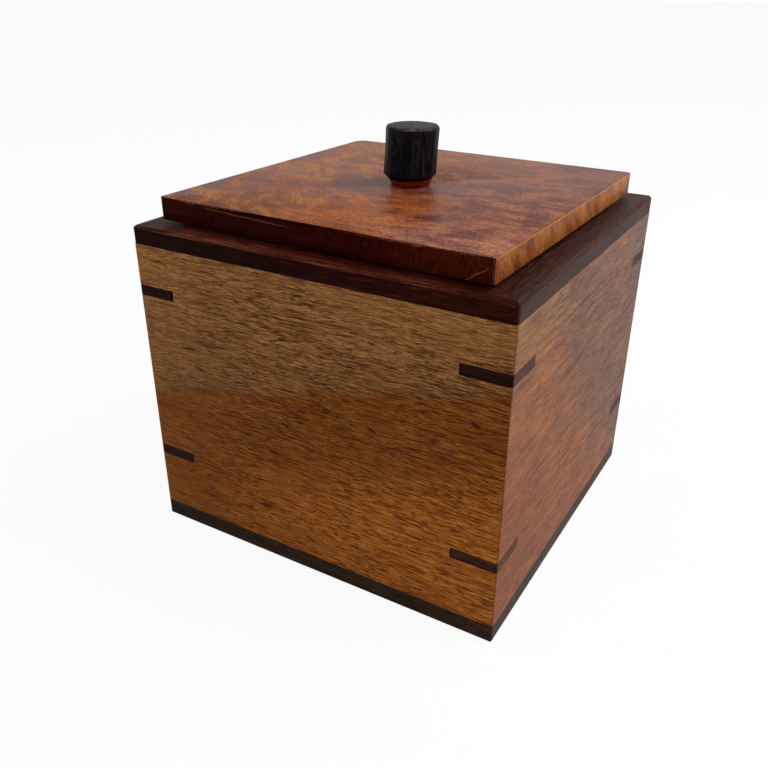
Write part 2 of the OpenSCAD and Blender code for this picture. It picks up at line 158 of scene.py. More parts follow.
class Finish(Bench):
    """One finish for a material."""

    def __init__(self, name):
        self.material = bpy.data.materials.new(name)
        self.material.use_nodes = True
        super().__init__(self.material.node_tree)
        self.output = self.add("ShaderNodeOutputMaterial")
        self.shader = self.add("ShaderNodeBsdfPrincipled")
        self.join(self.shader.outputs["BSDF"], self.output.inputs["Surface"])
        self.coords = self.add("ShaderNodeTexCoord")

    def board(self, grain, across, centre_mm=(0, 0, 0)):
        """Millimetres from a board's centre: x along its grain, y across its face and z into it."""
        place = self.add("ShaderNodeMapping", vector_type="POINT")
        self.join(self.coords.outputs["Object"], place.inputs["Vector"])
        place.inputs["Scale"].default_value = (1 / MM, 1 / MM, 1 / MM)
        place.inputs["Location"].default_value = tuple(-c for c in centre_mm)
        axes = dict(zip("XYZ", self.split(place.outputs[0])))
        through = ({"X", "Y", "Z"} - {grain, across}).pop()
        return self.pack(axes[grain], axes[across], axes[through])

    def turned(self, vector, angle_deg):
        node = self.add("ShaderNodeVectorRotate", rotation_type="Z_AXIS")
        self.join(vector, node.inputs["Vector"])
        node.inputs["Angle"].default_value = math.radians(angle_deg)
        return node.outputs[0]

    def stretch(self, vector, x_mm, y_mm, z_mm, shift=(0.0, 0.0, 0.0)):
        """Scales a pattern so that one unit of it spans these millimetres."""
        node = self.add("ShaderNodeMapping", vector_type="POINT")
        self.join(vector, node.inputs["Vector"])
        node.inputs["Scale"].default_value = (1.0 / x_mm, 1.0 / y_mm, 1.0 / z_mm)
        node.inputs["Location"].default_value = shift
        return node.outputs[0]

    def shades(self, value, *stops):
        """A colour ramp through (place, colour) stops."""
        node = self.add("ShaderNodeValToRGB")
        self.join(value, node.inputs["Fac"])
        steps = node.color_ramp.elements
        while len(steps) < len(stops):
            steps.new(0.5)
        for step, (place, colour) in zip(steps, stops):
            step.position = place
            step.color = tuple(colour) + (1.0,)
        return node.outputs["Color"]

    def mix(self, amount, a, b, kind="MIX"):
        node = self.add("ShaderNodeMix", data_type="RGBA", blend_type=kind)
        self.join(amount, node.inputs[0])
        self.join(a, node.inputs[6])
        self.join(b, node.inputs[7])
        return node.outputs[2]

    def tint(self, body, amount, colour):
        """Multiplies a colour into the body."""
        return self.mix(amount, body, colour, "MULTIPLY")

    def relief(self, height, depth_mm, strength, under=None):
        node = self.add("ShaderNodeBump")
        self.join(height, node.inputs["Height"])
        node.inputs["Strength"].default_value = strength
        node.inputs["Distance"].default_value = depth_mm * MM
        if under is not None:
            self.join(under, node.inputs["Normal"])
        return node.outputs["Normal"]

    def done(self, colour, roughness, normal=None, metal=0.0, specular=0.5):
        self.join(colour, self.shader.inputs["Base Color"])
        self.join(roughness, self.shader.inputs["Roughness"])
        if normal is not None:
            self.join(normal, self.shader.inputs["Normal"])
        self.shader.inputs["Metallic"].default_value = metal
        self.shader.inputs["Specular IOR Level"].default_value = specular
        return self.material


class Jig(Bench):
    """A geometry tree with named sizes in millimetres, from which pieces are turned out."""

    def __init__(self, name, **sizes):
        super().__init__(bpy.data.node_groups.new(name, "GeometryNodeTree"))
        face = self.tree.interface
        face.new_socket("Geometry", in_out="OUTPUT", socket_type="NodeSocketGeometry")
        self.keys = {}
        for label, value in sizes.items():
            kind = "NodeSocketInt" if isinstance(value, int) else "NodeSocketFloat"
            socket = face.new_socket(label, in_out="INPUT", socket_type=kind)
            socket.default_value = value
            self.keys[label] = socket.identifier
        finish = face.new_socket("finish", in_out="INPUT", socket_type="NodeSocketMaterial")
        self.keys["finish"] = finish.identifier
        self.size = self.add("NodeGroupInput").outputs
        self.out = self.add("NodeGroupOutput")

    def make(self, kind, settings=None, **values):
        """Adds a geometry node, and gives its first output."""
        node = self.add(kind, **(settings or {}))
        for label, value in values.items():
            self.join(value, node.inputs[label.replace("_", " ")])
        return node.outputs[0]

    def chance(self, number, seed):
        """A fixed random share for a whole number."""
        node = self.add("ShaderNodeTexWhiteNoise", noise_dimensions="1D")
        self.join(self.maths("ADD", number, seed), node.inputs["W"])
        return node.outputs["Value"]

    def joined(self, kind, first, second):
        """Two closed shapes as one, or the first with the second cut away."""
        node = self.add("GeometryNodeMeshBoolean", operation=kind, solver="EXACT")
        if kind == "DIFFERENCE":
            self.join(first, node.inputs["Mesh 1"])
        else:
            self.join(first, node.inputs["Mesh 2"])
        self.join(second, node.inputs["Mesh 2"])
        return node.outputs[0]

    def moved(self, mesh, x=0.0, y=0.0, z=0.0):
        return self.make("GeometryNodeTransform", Geometry=mesh, Translation=self.pack(x, y, z))

    def close(self, shape):
        """Ends the tree: to metres, instances made real, and the finish put on."""
        metres = self.make("GeometryNodeTransform", Geometry=shape, Scale=(MM, MM, MM))
        real = self.make("GeometryNodeRealizeInstances", Geometry=metres)
        coated = self.make("GeometryNodeSetMaterial", Geometry=real, Material=self.size["finish"])
        self.join(coated, self.out.inputs[0])

    def turn_out(self, name, finish, **sizes):
        """One piece from the jig, as a plain mesh."""
        piece = bpy.data.objects.new(name, bpy.data.meshes.new(name))
        bpy.context.scene.collection.objects.link(piece)
        work = piece.modifiers.new("jig", "NODES")
        work.node_group = self.tree
        work[self.keys["finish"]] = finish
        for label, value in sizes.items():
            work[self.keys[label]] = value
        plain_mesh(piece)
        piece.data.polygons.foreach_set("material_index", [0] * len(piece.data.polygons))
        piece.data.materials.clear()
        piece.data.materials.append(finish)
        return piece


def shade(red, green, blue):
    """A colour given as 0..255 screen values, as the light it stands for."""
    light = []
    for value in (red, green, blue):
        part = value / 255.0
        light.append(part / 12.92 if part <= 0.04045 else ((part + 0.055) / 1.055) ** 2.4)
    return tuple(light)


# ---------- finishes ----------

def wall_patterns(f, laid, seed, run):
    """The patterns in wall wood, drawn out along a slightly wavy grain."""
    drift = f.noise(f.stretch(laid, 40, 18, 40, (seed, 0, 0)), 2.0)
    ripple = f.noise(f.stretch(laid, 7, 4, 20, (seed, 20, 0)), 1.0)
    x, y, z = f.split(laid)[:3]
    wavy = f.pack(x, f.maths("ADD", y, f.plus(f.product(drift, 2.2), ripple, 0.9)), z)

    def along(x_mm, y_mm, z_mm, shift, detail, roughness=0.5):
        return f.noise(f.stretch(wavy, x_mm, y_mm, z_mm, (seed, shift, 0)), detail, roughness)

    return dict(
        ripple=ripple,
        patch=f.noise(f.stretch(laid, 15, 9, 20, (seed, 13, 0)), 3.0),
        cloud=along(34, 11, 20, 3, 3.0, 0.55),
        fibre=along(1.3 * run, 0.26, 2.5, 5, 2.0, 0.7),
        short=along(2.6 * run, 0.19, 1.4, 7, 1.0, 0.4),
        long=along(6.0 * run, 0.2, 1.4, 17, 1.0, 0.4),
        band=along(26, 1.3, 6, 23, 2.0, 0.55),
        mottle=along(13, 5, 20, 29, 3.0, 0.6),
        flecks=along(5.0, 1.3, 3, 11, 0.0),
    )


def wall_zones(f, x, y, cloud, colours, rise, soft, run, ribbon):
    """A wall's broad tones: a bright foot, and painted sheen above the rise line, with painted
    shade along that line and above it to the left. Gives the colour and the painted sheen's mask."""
    base, warm, pale, foot = colours
    height, slope = rise
    edge = f.maths("ADD", f.plus(y, x, -slope), f.span(cloud, 0.2, 0.8, -5.0 * run, 5.0 * run, False))
    # The paler zone above the rise line is painted sheen.
    painted_sheen_zone = f.span(edge, height - soft, height + soft)
    foot_line = f.plus(y, x, 0.9 * ribbon - 0.3)
    foot_reach = f.span(x, -48.0, 0.0, 0.25 + 0.85 * ribbon, 1.0 - 0.85 * ribbon)
    body = f.mix(f.span(cloud, 0.38, 0.62), base, warm)
    body = f.mix(f.product(f.span(foot_line, -2.0, -30.0), foot_reach), body, foot)
    body = f.mix(painted_sheen_zone, body, pale)
    # Painted shade along the edge of the painted sheen, and above it to the left.
    painted_shade_at_sheen_edge = f.product(painted_sheen_zone, f.span(edge, height + 14.0, height, 0.0, 0.7 - 0.7 * ribbon))
    body = f.tint(body, painted_shade_at_sheen_edge, (0.74, 0.7, 0.68))
    left_shade = f.product(
        f.span(edge, height + 34.0, height + 14.0), f.span(x, -12.0, -34.0), painted_sheen_zone, 1.0 - ribbon)
    return f.tint(body, left_shade, (0.84, 0.83, 0.8)), painted_sheen_zone


def wall_figure(f, body, x, y, seen, pores, ribbon):
    """Darker patches and bands, golden and purplish mottle, pale ribbons that are part figure and part
    painted sheen, and a painted highlight towards the upper corners, strongest at the front, with
    painted shade right at those corners.
    """
    from_middle = f.maths("ABSOLUTE", x)
    body = f.tint(body, f.span(seen["patch"], 0.5, 0.32, 0.0, 0.6), (0.72, 0.64, 0.56))
    body = f.tint(body, f.span(seen["band"], 0.52, 0.68, 0.0, 0.7 * pores), (0.72, 0.6, 0.5))
    body = f.tint(body, f.span(seen["mottle"], 0.52, 0.64, 0.0, ribbon), (1.26, 1.18, 0.92))
    body = f.tint(body, f.span(seen["mottle"], 0.48, 0.36, 0.0, ribbon), (0.86, 0.82, 0.92))
    # A painted highlight towards the upper corners, strongest at the front one.
    painted_corner_highlight = f.product(
        f.span(y, 10.0, 44.0), f.span(from_middle, 14.0, 34.0), f.span(x, -10.0, 10.0, 1.0, 0.4), ribbon)
    body = f.tint(body, painted_corner_highlight, (1.32, 1.45, 1.32))
    # Painted shade right at the upper corners.
    painted_corner_shade = f.product(f.span(y, 14.0, 34.0), f.span(from_middle, 34.0, 46.0), 1.25 * ribbon)
    body = f.tint(body, painted_corner_shade, (0.76, 0.9, 1.06))
    # Pale ribbons: part figure, part painted sheen.
    return f.tint(body, f.span(seen["band"], 0.48, 0.34, 0.0, ribbon), (1.35, 1.3, 1.15))


def wall_lines(f, body, x, y, seen, painted_sheen_zone, pores):
    """Fine pale lines along the grain that are painted sheen, and dark broken lines of pores that are
    fainter at the foot, the left and the top. Gives the colour and the mask of the pores."""
    # Painted sheen on the fibres: fine pale lines along the grain.
    body = f.tint(body, f.span(seen["fibre"], 0.52, 0.61, 0.0, 0.85), (1.36, 1.44, 1.62))
    calm = f.product(
        f.span(painted_sheen_zone, 0.0, 1.0, 0.95, 1.0), f.span(x, -56.0, -16.0, 0.65, 1.0),
        f.span(f.plus(y, x, 0.2), 34.0, 48.0, 1.0, 0.7))
    short = f.product(f.span(seen["short"], 0.49, 0.55), f.span(seen["patch"], 0.36, 0.6, 0.4, 1.0), calm)
    long = f.product(f.span(seen["long"], 0.52, 0.59), f.span(seen["patch"], 0.7, 0.4, 0.6, 1.0), calm)
    body = f.tint(body, f.product(short, pores), (0.29, 0.21, 0.14))
    body = f.tint(body, f.product(long, pores), (0.3, 0.21, 0.14))
    body = f.tint(body, f.span(seen["flecks"], 0.8, 0.84, 0.0, 0.85 * pores), (0.22, 0.16, 0.14))
    return body, f.maths("MAXIMUM", short, long)


def pin_knots(f, body, x, y, ripple, places_mm):
    """Small dark knots, drawn out along a line that falls to the right."""
    for knot_x, knot_y in places_mm:
        off_x = f.maths("SUBTRACT", x, knot_x)
        off_y = f.plus(f.maths("SUBTRACT", y, knot_y), off_x, 0.28)
        size = f.maths("SQRT", f.plus(f.product(off_y, off_y, 4.0), f.product(off_x, off_x), 0.35))
        body = f.tint(body, f.span(f.plus(size, ripple, 0.4), 1.3, 0.8, 0.0, 0.95), (0.22, 0.1, 0.12))
    return body


def wall_wood(
    name, grain, node, half_mm, colours, seed, rise, soft, specular, pores, run, ribbon, knots_mm=()
):
    """Oiled open-pored wood. colours are its base, warm, pale and foot tones, the pale one being
    painted sheen; rise is the height and slope of the line above which that painted sheen lies,
    and soft is half the width of that line's edge. pores and ribbon are the strengths of its dark
    lines and pale ribbons, run is how long its lines are drawn out, and knots_mm are the places of
    its knots."""
    f = Finish(name)
    laid = f.board(grain, "Z", middle_mm(node))
    x, y = f.split(laid)[:2]
    seen = wall_patterns(f, laid, seed, run)
    body, painted_sheen_zone = wall_zones(f, x, y, seen["cloud"], colours, rise, soft, run, ribbon)
    body = wall_figure(f, body, x, y, seen, pores, ribbon)
    body, pits = wall_lines(f, body, x, y, seen, painted_sheen_zone, pores)
    body = pin_knots(f, body, x, y, seen["ripple"], knots_mm)
    glue = f.span(f.maths("ABSOLUTE", x), half_mm - 0.45, half_mm - 0.15, 0.0, 0.7)
    body = f.tint(body, glue, (0.3, 0.2, 0.14))
    rough = f.plus(f.span(seen["fibre"], 0.2, 0.8, 0.42, 0.56), pits, 0.12)
    relief = f.relief(f.maths("SUBTRACT", f.product(seen["fibre"], 0.5), pits), 0.04, 0.5)
    return f.done(body, rough, relief, specular=specular)


def dark_wood(
    name, grain, across, node, tones, seed, fleck=0.5, specular=0.08, tip_mm=None, ends_mm=None,
    turning=None
):
    """Close dark wood in deep, mid and light tones, with fine broken streaks along the grain. Its tip is
    pale from tip_mm on, a painted highlight on its blunt end, and both ends are darker from ends_mm
    out. turning is two pairs of a place in mm and a tint, and the tint goes from the first to the
    second between their places."""
    deep, mid, light = tones
    f = Finish(name)
    laid = f.board(grain, across, middle_mm(node))
    drift = f.noise(f.stretch(laid, 60, 12, 30, (seed, 0, 0)), 1.0)
    x, y, z = f.split(laid)[:3]
    wavy = f.pack(x, f.plus(y, drift, 3.0), f.plus(z, drift, 2.0))
    bands = f.noise(f.stretch(wavy, 30, 1.8, 2.1, (seed, 2, 0)), 3.0, 0.6)
    fibre = f.noise(f.stretch(wavy, 9, 0.3, 0.34, (seed, 4, 0)), 2.0, 0.6)
    pores = f.span(f.noise(f.stretch(wavy, 4.6, 0.3, 0.34, (seed, 6, 0)), 1.0), 0.52, 0.64)
    body = f.mix(f.span(bands, 0.36, 0.68), deep, mid)
    body = f.mix(f.span(fibre, 0.5, 0.64, 0.0, fleck), body, light)
    body = f.mix(f.product(pores, 0.6), body, tuple(c * 0.35 for c in deep))
    if ends_mm is not None:
        body = f.tint(body, f.span(f.maths("ABSOLUTE", x), ends_mm, ends_mm + 8.0), (0.52, 0.58, 0.5))
    if turning is not None:
        (start_mm, first), (stop_mm, last) = turning
        body = f.tint(body, 1.0, f.mix(f.span(x, start_mm, stop_mm), first, last))
    if tip_mm is not None:
        # A painted highlight on the blunt tip.
        body = f.mix(f.span(x, tip_mm - 0.65, tip_mm - 0.5, 0.0, 0.8), body, shade(118, 84, 62))
    rough = f.span(fibre, 0.2, 0.8, 0.42, 0.6)
    relief = f.relief(f.maths("SUBTRACT", fibre, pores), 0.05, 0.6)
    return f.done(body, rough, relief, specular=specular)


LID_GRAIN_MM = (0, 0, 101)


def lid_curl(f, laid):
    """The lid's curl: cross streaks on its left, running into ripples along the grain on its right.
    Gives the bent coordinates, the curl, and 0..1 from the left side to the right."""
    x, y, z = f.split(laid)[:3]
    drift = f.noise(f.stretch(laid, 40, 28, 40, (1.3, 0, 0)), 2.0)
    bend = f.noise(f.stretch(laid, 22, 18, 30, (4.1, 2, 0)), 2.0)
    wavy = f.pack(f.plus(x, bend, 14.0), f.plus(y, drift, 18.0), z)
    side = f.span(x, -22.0, 16.0)
    cross = f.noise(f.stretch(f.turned(wavy, 48), 8.0, 4.2, 6, (5, 3, 0)), 2.0, 0.5)
    along = f.noise(f.stretch(wavy, 9, 3.6, 6, (1, 7, 0)), 3.0, 0.6)
    return wavy, f.plus(cross, f.maths("SUBTRACT", along, cross), side), side


def lid_patches(f, body, x, y):
    """Patches of the lid's face, each at its own place: a painted reflection of the dark knob in
    front of it, painted sheen at the front right, and lighter and dusky patches.
    """
    # A painted reflection of the dark knob, which takes the sheen off in front of it.
    painted_knob_reflection = f.product(f.span(y, -6.0, -18.0), f.near(x, 8.0, 20.0, 7.0), 0.8)
    body = f.tint(body, painted_knob_reflection, (1.03, 0.84, 0.4))
    left_patch = f.product(f.span(x, -18.0, -28.0), f.near(y, -22.0, 15.0, 7.0))
    body = f.tint(body, left_patch, (0.85, 0.7, 0.6))
    middle_patch = f.product(f.span(y, -14.0, -22.0), f.near(x, -6.0, 13.0, 5.0))
    body = f.tint(body, middle_patch, (1.18, 1.12, 0.98))
    # Painted sheen over the front right of the face.
    front_right = f.product(f.span(y, -20.0, -44.0), f.span(x, 0.0, 24.0), 0.8)
    body = f.tint(body, front_right, (1.5, 1.75, 1.87))
    far_right = f.product(f.span(y, -10.0, 30.0), f.span(x, 20.0, 46.0), 0.75)
    body = f.tint(body, far_right, (0.74, 0.7, 0.76))
    across_dusk = f.maths("SUBTRACT", f.plus(-79.8, x, 1.28), y)
    along_dusk = f.near(f.maths("ADD", x, y), -3.0, 17.0, 8.0)
    dusk = f.product(f.span(across_dusk, -1.2, 2.0), f.span(across_dusk, 13.0, 4.0), along_dusk, 0.8)
    return f.tint(body, dusk, (0.64, 0.54, 0.64))


def figured_face(name):
    """The lid's face: curly red-orange wood, golden to the left and greyer, purplish to the right,
    partly from painted sheen.
    """
    f = Finish(name)
    laid = f.board("X", "Y", LID_GRAIN_MM)
    x, y = f.split(laid)[:2]
    wavy, curl, side = lid_curl(f, laid)
    broad = f.noise(f.stretch(wavy, 18, 10, 18, (2, 1, 0)), 3.0, 0.6)
    fine = f.noise(f.stretch(wavy, 1.3, 0.8, 2, (8, 1, 0)), 2.0, 0.65)
    fibre = f.noise(f.stretch(wavy, 3.0, 0.45, 1.2, (7, 5, 0)), 2.0, 0.6)
    sand = f.noise(f.stretch(laid, 0.75, 0.8, 0.6, (6, 4, 0)), 2.0, 0.6)
    # Towards the right the tones turn greyer and purplish: partly the wood's own, partly painted sheen.
    deep = f.mix(side, shade(108, 54, 28), shade(100, 56, 46))
    mid = f.mix(side, shade(128, 68, 28), shade(130, 76, 52))
    light = f.mix(side, shade(160, 99, 40), shade(148, 92, 60))
    body = f.mix(f.span(broad, 0.38, 0.6), deep, mid)
    body = f.mix(f.span(curl, 0.48, 0.66, 0.0, 0.8), body, light)
    body = f.tint(body, f.span(curl, 0.48, 0.34, 0.0, 0.9), (0.62, 0.48, 0.48))
    body = f.tint(body, f.span(fine, 0.5, 0.64, 0.0, 0.6), (1.22, 1.34, 1.6))
    body = f.tint(body, f.span(fine, 0.5, 0.36, 0.0, 0.75), (0.66, 0.58, 0.54))
    body = f.tint(body, f.span(fibre, 0.52, 0.64, 0.0, 0.35), (0.66, 0.56, 0.5))
    body = lid_patches(f, body, x, y)
    body = f.tint(body, f.span(sand, 0.5, 0.6, 0.0, 0.7), (1.34, 1.4, 1.48))
    body = f.tint(body, f.span(sand, 0.5, 0.4, 0.0, 0.7), (0.68, 0.64, 0.6))
    relief = f.relief(fibre, 0.03, 0.4, f.relief(curl, 0.06, 0.3))
    return f.done(body, f.span(curl, 0.2, 0.8, 0.32, 0.44), relief, specular=0.03)


def arris_highlights_split_and_glint(f, body, laid, x, z):
    """The lid's upper arris: painted highlights near both ends, a split along the grain on the left,
    and a painted glint below it."""
    ragged = f.noise(f.stretch(laid, 2.4, 9, 9, (6, 1, 2)), 3.0, 0.6)
    chips = f.noise(f.stretch(laid, 0.9, 2, 0.5, (8, 4, 2)), 2.0, 0.6)
    # Painted highlights along the upper arris near both ends, broken into patches.
    left_arris = f.product(f.span(x, -46.0, -42.0), f.span(x, -18.0, -32.0))
    right_arris = f.product(f.span(x, 6.0, 22.0), f.span(x, 48.0, 44.0))
    arrises = f.product(f.maths("MAXIMUM", left_arris, right_arris), 0.65)
    lip = f.span(f.plus(z, ragged, 1.4), 3.6, 4.0)
    body = f.mix(f.product(lip, arrises, f.span(chips, 0.4, 0.6, 0.2, 0.8)), body, shade(136, 78, 38))
    split_line = f.near(f.maths("ADD", z, ragged), 3.5, 0.4, 0.1)
    split_line = f.product(split_line, f.span(x, -34.0, -28.0), f.span(x, 10.0, -6.0))
    body = f.mix(split_line, body, shade(16, 3, 2))
    # A painted glint below the split.
    glint = f.near(f.plus(f.plus(z, x, 0.035), ragged, 0.6), 1.7, 0.26, 0.06)
    glint = f.product(glint, f.span(x, -38.0, -32.0), f.span(x, -4.0, -14.0), 0.5)
    return f.mix(glint, body, shade(126, 70, 42))


def dark_end(name):
    """The lid's front and back edges: dark end grain with painted light that makes it lighter to the
    right, and a thin painted glint there."""
    f = Finish(name)
    laid = f.board("X", "Y", LID_GRAIN_MM)
    x, _, z = f.split(laid)[:3]
    end = f.noise(f.stretch(laid, 0.5, 1.2, 1.6, (3, 3, 3)), 3.0, 0.6)
    layers = f.noise(f.stretch(laid, 22, 9, 0.9, (5, 1, 2)), 3.0, 0.6)
    wander = f.noise(f.stretch(laid, 3, 3, 3, (2, 8, 1)), 1.0)
    body = f.shades(end, (0.32, shade(30, 4, 1)), (0.54, shade(44, 7, 3)), (0.78, shade(66, 19, 9)))
    body = f.mix(f.span(layers, 0.56, 0.76, 0.0, 0.5), body, shade(84, 26, 12))
    # Painted light: the end grain is lighter towards the right.
    body = f.tint(body, f.span(x, 14.0, 34.0), (1.95, 2.4, 1.65))
    body = arris_highlights_split_and_glint(f, body, laid, x, z)
    # A thin painted glint near the right end.
    line = f.maths("SUBTRACT", f.plus(z, x, -0.63), f.plus(-30.1, wander, 1.4))
    painted_glint_streak = f.product(f.near(line, 0.0, 0.3, 0.06), f.near(x, 44.4, 4.2, 2.8), 0.4)
    body = f.mix(painted_glint_streak, body, shade(150, 92, 60))
    return f.done(body, f.span(end, 0.2, 0.8, 0.45, 0.6), f.relief(end, 0.06, 0.5), specular=0.01)


def golden_edge(name):
    """The lid's side edges: upright golden ripples, a pale upper arris and one dark check."""
    f = Finish(name)
    laid = f.board("X", "Y", LID_GRAIN_MM)
    x, y, z = f.split(laid)[:3]
    lean = f.pack(x, f.plus(y, z, 0.5), z)
    ripple = f.noise(f.stretch(lean, 20, 5.0, 8, (9, 9, 0)), 3.0, 0.6)
    small = f.noise(f.stretch(lean, 9, 1.5, 3.0, (2, 9, 4)), 3.0, 0.65)
    speck = f.noise(f.stretch(laid, 1.0, 0.6, 0.7, (4, 2, 4)), 2.0, 0.6)
    body = f.shades(
        ripple, (0.34, shade(104, 52, 18)), (0.5, shade(136, 76, 30)), (0.68, shade(160, 96, 40)))
    body = f.tint(body, f.span(small, 0.5, 0.66, 0.0, 0.5), (1.3, 1.4, 1.6))
    body = f.tint(body, f.span(small, 0.48, 0.32, 0.0, 0.6), (0.55, 0.45, 0.35))
    body = f.tint(body, f.span(speck, 0.5, 0.66, 0.0, 0.6), (0.68, 0.6, 0.5))
    body = f.mix(f.span(z, 2.9, 3.2, 0.0, 0.45), body, shade(186, 122, 70))
    check = f.product(f.near(y, -22.0, 0.45, 0.15), f.span(z, -4.0, 2.0, 0.85, 0.3))
    body = f.mix(check, body, shade(50, 22, 10))
    return f.done(body, f.span(small, 0.2, 0.8, 0.36, 0.5), f.relief(ripple, 0.08, 0.4), specular=0.07)


def plain_wood(name, grain, across, centre_mm, tones, seed):
    """Planed wood for what stays inside: soft rings between two tones, and fine fibre in a third."""
    pale, mid, line = tones
    f = Finish(name)
    laid = f.board(grain, across, centre_mm)
    rings = f.noise(f.stretch(laid, 90, 4.5, 6, (seed, 0, 0)), 3.0, 0.55, 0.4)
    fibre = f.noise(f.stretch(laid, 8, 0.5, 0.6, (seed, 4, 0)), 3.0, 0.6)
    body = f.mix(f.span(rings, 0.38, 0.62), pale, mid)
    body = f.mix(f.span(fibre, 0.5, 0.75, 0.0, 0.5), body, line)
    return f.done(body, f.span(fibre, 0.2, 0.8, 0.52, 0.68), f.relief(fibre, 0.04, 0.5), specular=0.3)


def ebony(name, dark, mid, light, specular):
    """Near-black wood worked by hand: upright grain, dull nicks, one paler streak that is a painted
    highlight, scratches on its top, and a front arris with worn patches and a painted highlight."""
    f = Finish(name)
    laid = f.board("Z", "X", (0, 0, 114))
    grain = f.noise(f.stretch(laid, 12, 0.5, 0.5, (1, 0, 0)), 3.0, 0.6)
    nicks = f.noise(f.stretch(laid, 2.4, 0.8, 0.8, (3, 2, 0)), 3.0, 0.6)
    scratches = f.noise(f.stretch(laid, 1.2, 1.6, 0.35, (9, 2, 4)), 2.0, 0.6)
    patchy = f.noise(f.stretch(laid, 3, 2.2, 2.2, (5, 5, 0)), 1.0)
    up, x, y = f.split(laid)[:3]
    body = f.shades(grain, (0.35, dark), (0.56, mid), (0.74, light))
    body = f.mix(f.span(nicks, 0.55, 0.7, 0.0, 0.7), body, light)
    top_marks = f.product(f.span(scratches, 0.58, 0.66, 0.0, 0.8), f.span(up, 7.1, 7.25))
    body = f.mix(top_marks, body, shade(87, 89, 94))
    # A paler streak up the side, a painted highlight.
    painted_glint_streak = f.near(f.plus(f.product(y, 0.5), x, 0.86), 2.6, 2.6, 0.4)
    body = f.mix(f.product(painted_glint_streak, f.span(grain, 0.4, 0.62), 0.6), body, light)
    # Paler patches on the front of the top arris: wear and a painted highlight.
    arris = f.product(f.span(up, 6.5, 6.85), f.span(up, 7.3, 7.15))
    front_side = f.span(f.plus(f.product(y, 0.84), x, -0.55), -4.5, -7.0)
    wear_and_highlight = f.product(arris, front_side, f.span(patchy, 0.4, 0.6, 0.4, 1.0))
    body = f.mix(wear_and_highlight, body, shade(88, 66, 58))
    relief = f.relief(nicks, 0.12, 0.6, f.relief(grain, 0.14, 0.8))
    return f.done(body, f.span(nicks, 0.2, 0.8, 0.3, 0.5), relief, specular=specular)


def red_collar_wood(name):
    f = Finish(name)
    laid = f.board("X", "Y", (0, 0, 105))
    grain = f.noise(f.stretch(laid, 5, 0.6, 0.8, (1, 0, 0)), 3.0, 0.6)
    body = f.shades(grain, (0.3, shade(96, 22, 15)), (0.6, shade(140, 40, 26)), (0.8, shade(172, 64, 42)))
    return f.done(body, f.span(grain, 0.2, 0.8, 0.35, 0.5), f.relief(grain, 0.05, 0.5), specular=0.05)


def worked_metal(name, dull_shade, bright_shade, grain, centre_mm):
    """Metal with fine drawn lines and a little dulling in patches."""
    f = Finish(name)
    laid = f.board(grain, "Y", centre_mm)
    lines = f.noise(f.stretch(laid, 9, 0.12, 0.12, (1, 0, 0)), 2.0, 0.6)
    dull = f.noise(f.stretch(laid, 4, 3, 3, (4, 0, 0)), 3.0, 0.6)
    body = f.mix(f.span(dull, 0.3, 0.7), dull_shade, bright_shade)
    rough = f.maths("ADD", f.span(lines, 0.2, 0.8, 0.28, 0.42), f.span(dull, 0.6, 0.3, 0.0, 0.12))
    return f.done(body, rough, f.relief(lines, 0.01, 0.5), metal=1.0)


# ---------- bench work ----------

def plain_mesh(obj):
    """Puts what the modifiers make into the piece's own mesh."""
    graph = bpy.context.evaluated_depsgraph_get()
    mesh = bpy.data.meshes.new_from_object(obj.evaluated_get(graph))
    obj.modifiers.clear()
    obj.data = mesh
    return obj


def clean_copy(node, name):
    """A copy of a solid from the frame with its loose triangles joined into faces."""
    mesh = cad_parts[node].data.copy()
    mesh.name = name
    work = bmesh.new()
    work.from_mesh(mesh)
    bmesh.ops.remove_doubles(work, verts=work.verts, dist=2e-6)
    bmesh.ops.dissolve_limit(work, angle_limit=math.radians(0.4), verts=work.verts, edges=work.edges)
    work.to_mesh(mesh)
    work.free()
    mesh.materials.clear()
    obj = bpy.data.objects.new(name, mesh)
    bpy.context.scene.collection.objects.link(obj)
    return obj


def ease_edges(obj, width_mm, segments=2, angle_deg=25):
    """Takes the sharpness off the arrises, as sandpaper does."""
    bevel = obj.modifiers.new("eased_edges", "BEVEL")
    bevel.width = width_mm * MM
    bevel.segments = segments
    bevel.limit_method = "ANGLE"
    bevel.angle_limit = math.radians(angle_deg)
    bevel.use_clamp_overlap = True
    bevel.miter_outer = "MITER_ARC"
    return plain_mesh(obj)


def smooth_turned(obj, angle_deg=35):
    """Round faces shade smoothly, and broad flat faces and the edges between faces stay crisp."""
    broad = 60 * MM * MM
    for face in obj.data.polygons:
        face.use_smooth = face.area < broad
    obj.data.set_sharp_from_angle(angle=math.radians(angle_deg))
    return obj


